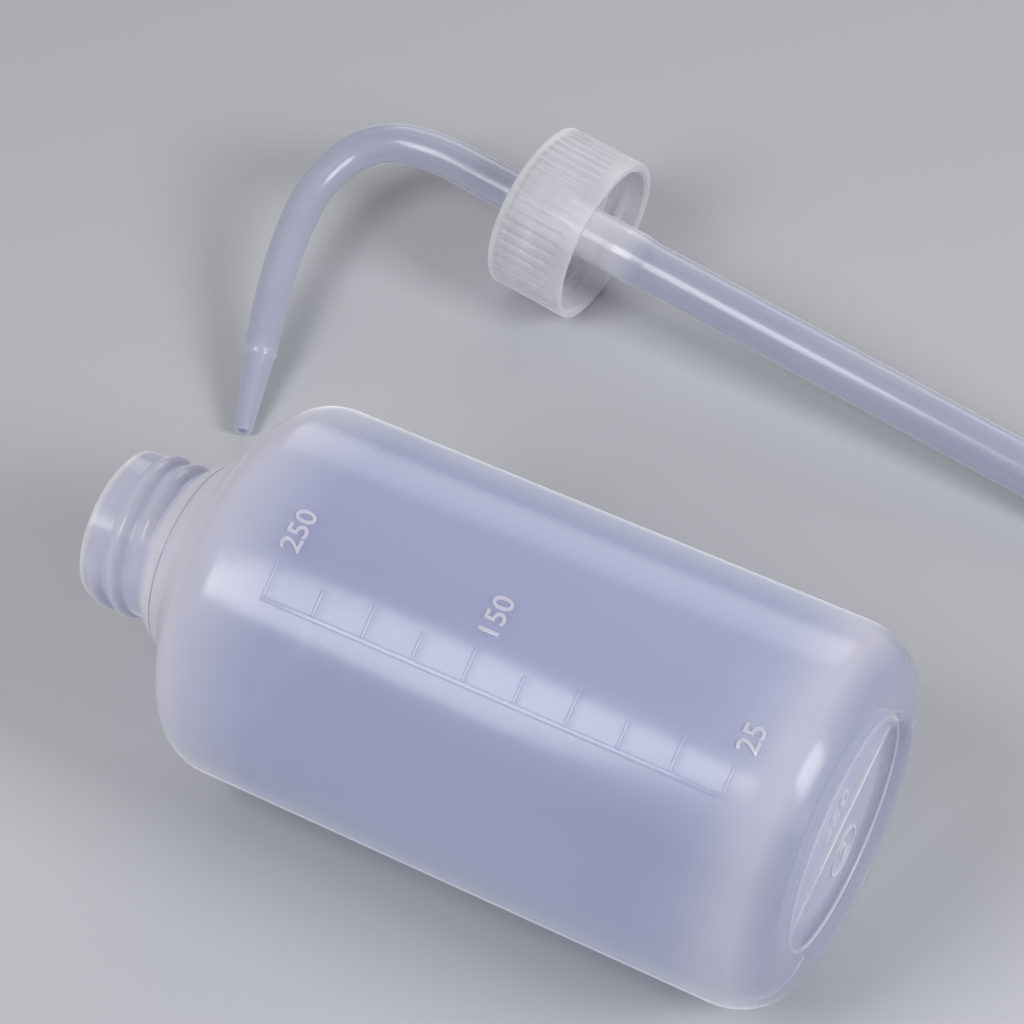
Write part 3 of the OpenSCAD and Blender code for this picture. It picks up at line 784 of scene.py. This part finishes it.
def makeMouldLine():
    s = baseShape
    line = [Vector(p) for p in outerLine()[0] if p[0] > bottleShape["panelR"]]
    section = [(-s["lineW"] / 2, -s["lineSink"], 0), (-s["lineW"] / 4, s["lineRise"], 0),
               (s["lineW"] / 4, s["lineRise"], 0), (s["lineW"] / 2, -s["lineSink"], 0)]
    parts = []
    for turn in (s["turn"], s["turn"] + 180):
        places = []
        for i, (r, z) in enumerate(line):
            course = (line[min(i + 1, len(line) - 1)] - line[max(i - 1, 0)]).normalized()
            # The hairline's section faces along the course, in the plane of the bottle's axis
            facing = Matrix(((0, course.y, course.x), (1, 0, 0), (0, -course.x, course.y))).to_4x4()
            places.append(
                Matrix.Rotation(math.radians(turn), 4, "Z") @ Matrix.Translation((r, 0, z)) @ facing)
        bm, firstLoop, lastLoop = swept(section, places)
        bmesh.ops.holes_fill(bm, edges=firstLoop + lastLoop, sides=0)
        bmesh.ops.recalc_face_normals(bm, faces=bm.faces)
        parts.append(bm)
    return finished(joined(parts), "mouldLine", bottlePlace, bottleBody, bottlePlastic,
                    milkAt=bottleMilkAndPaintedLight)


makeBaseRib()
makeBaseMarks()
makeMouldLine()
print("stage: base")


# Bench, light and world

bench = {"halfWidth": 3, "colour": (0.52, 0.53, 0.56), "roughness": 0.6}


def makeBench():
    bm = bmesh.new()
    bmesh.ops.create_grid(bm, x_segments=1, y_segments=1, size=bench["halfWidth"])
    mesh = bpy.data.meshes.new("benchTop")
    bm.to_mesh(mesh)
    bm.free()
    material = bpy.data.materials.new("benchPale")
    material.use_nodes = True
    shader = material.node_tree.nodes["Principled BSDF"]
    shader.inputs["Base Color"].default_value = (*bench["colour"], 1)
    shader.inputs["Roughness"].default_value = bench["roughness"]
    mesh.materials.append(material)
    top = bpy.data.objects.new("benchTop", mesh)
    bpy.context.scene.collection.objects.link(top)


lamps = {
    # Aim in mm, the way to the lamp, its distance and size in m, and its power
    "keySoftbox": ((5, -47, 40), (-0.31, -0.59, 0.75), 0.6, (0.22, 0.34), 1.9),
    "sideSoftbox": ((50, -47, 40), (0.79, 0.0, 0.61), 0.7, (0.3, 0.3), 3.2),
    "backSoftbox": ((0, 60, 0), (-0.2, 0.8, 0.4), 1.0, (0.8, 0.5), 2.2),
}
worldLight = {"colour": (0.95, 0.97, 1), "strength": 0.23}


def softbox(name, aim, direction, distance, size, power):
    direction = Vector(direction).normalized()
    data = bpy.data.lights.new(name, "AREA")
    data.shape, data.size, data.size_y, data.energy = "RECTANGLE", size[0], size[1], power
    lamp = bpy.data.objects.new(name, data)
    bpy.context.scene.collection.objects.link(lamp)
    lamp.matrix_world = Matrix.Translation(Vector(aim) * mm + direction * distance) @ (
        direction.to_track_quat("Z", "Y").to_matrix().to_4x4()
    )


makeBench()
for lampName, lamp in lamps.items():
    softbox(lampName, *lamp)
world = bpy.data.worlds.new("studio")
world.use_nodes = True
world.node_tree.nodes["Background"].inputs["Color"].default_value = (*worldLight["colour"], 1)
world.node_tree.nodes["Background"].inputs["Strength"].default_value = worldLight["strength"]
bpy.context.scene.world = world
bpy.context.scene.view_settings.view_transform = "Standard"
print("stage: bench and light")
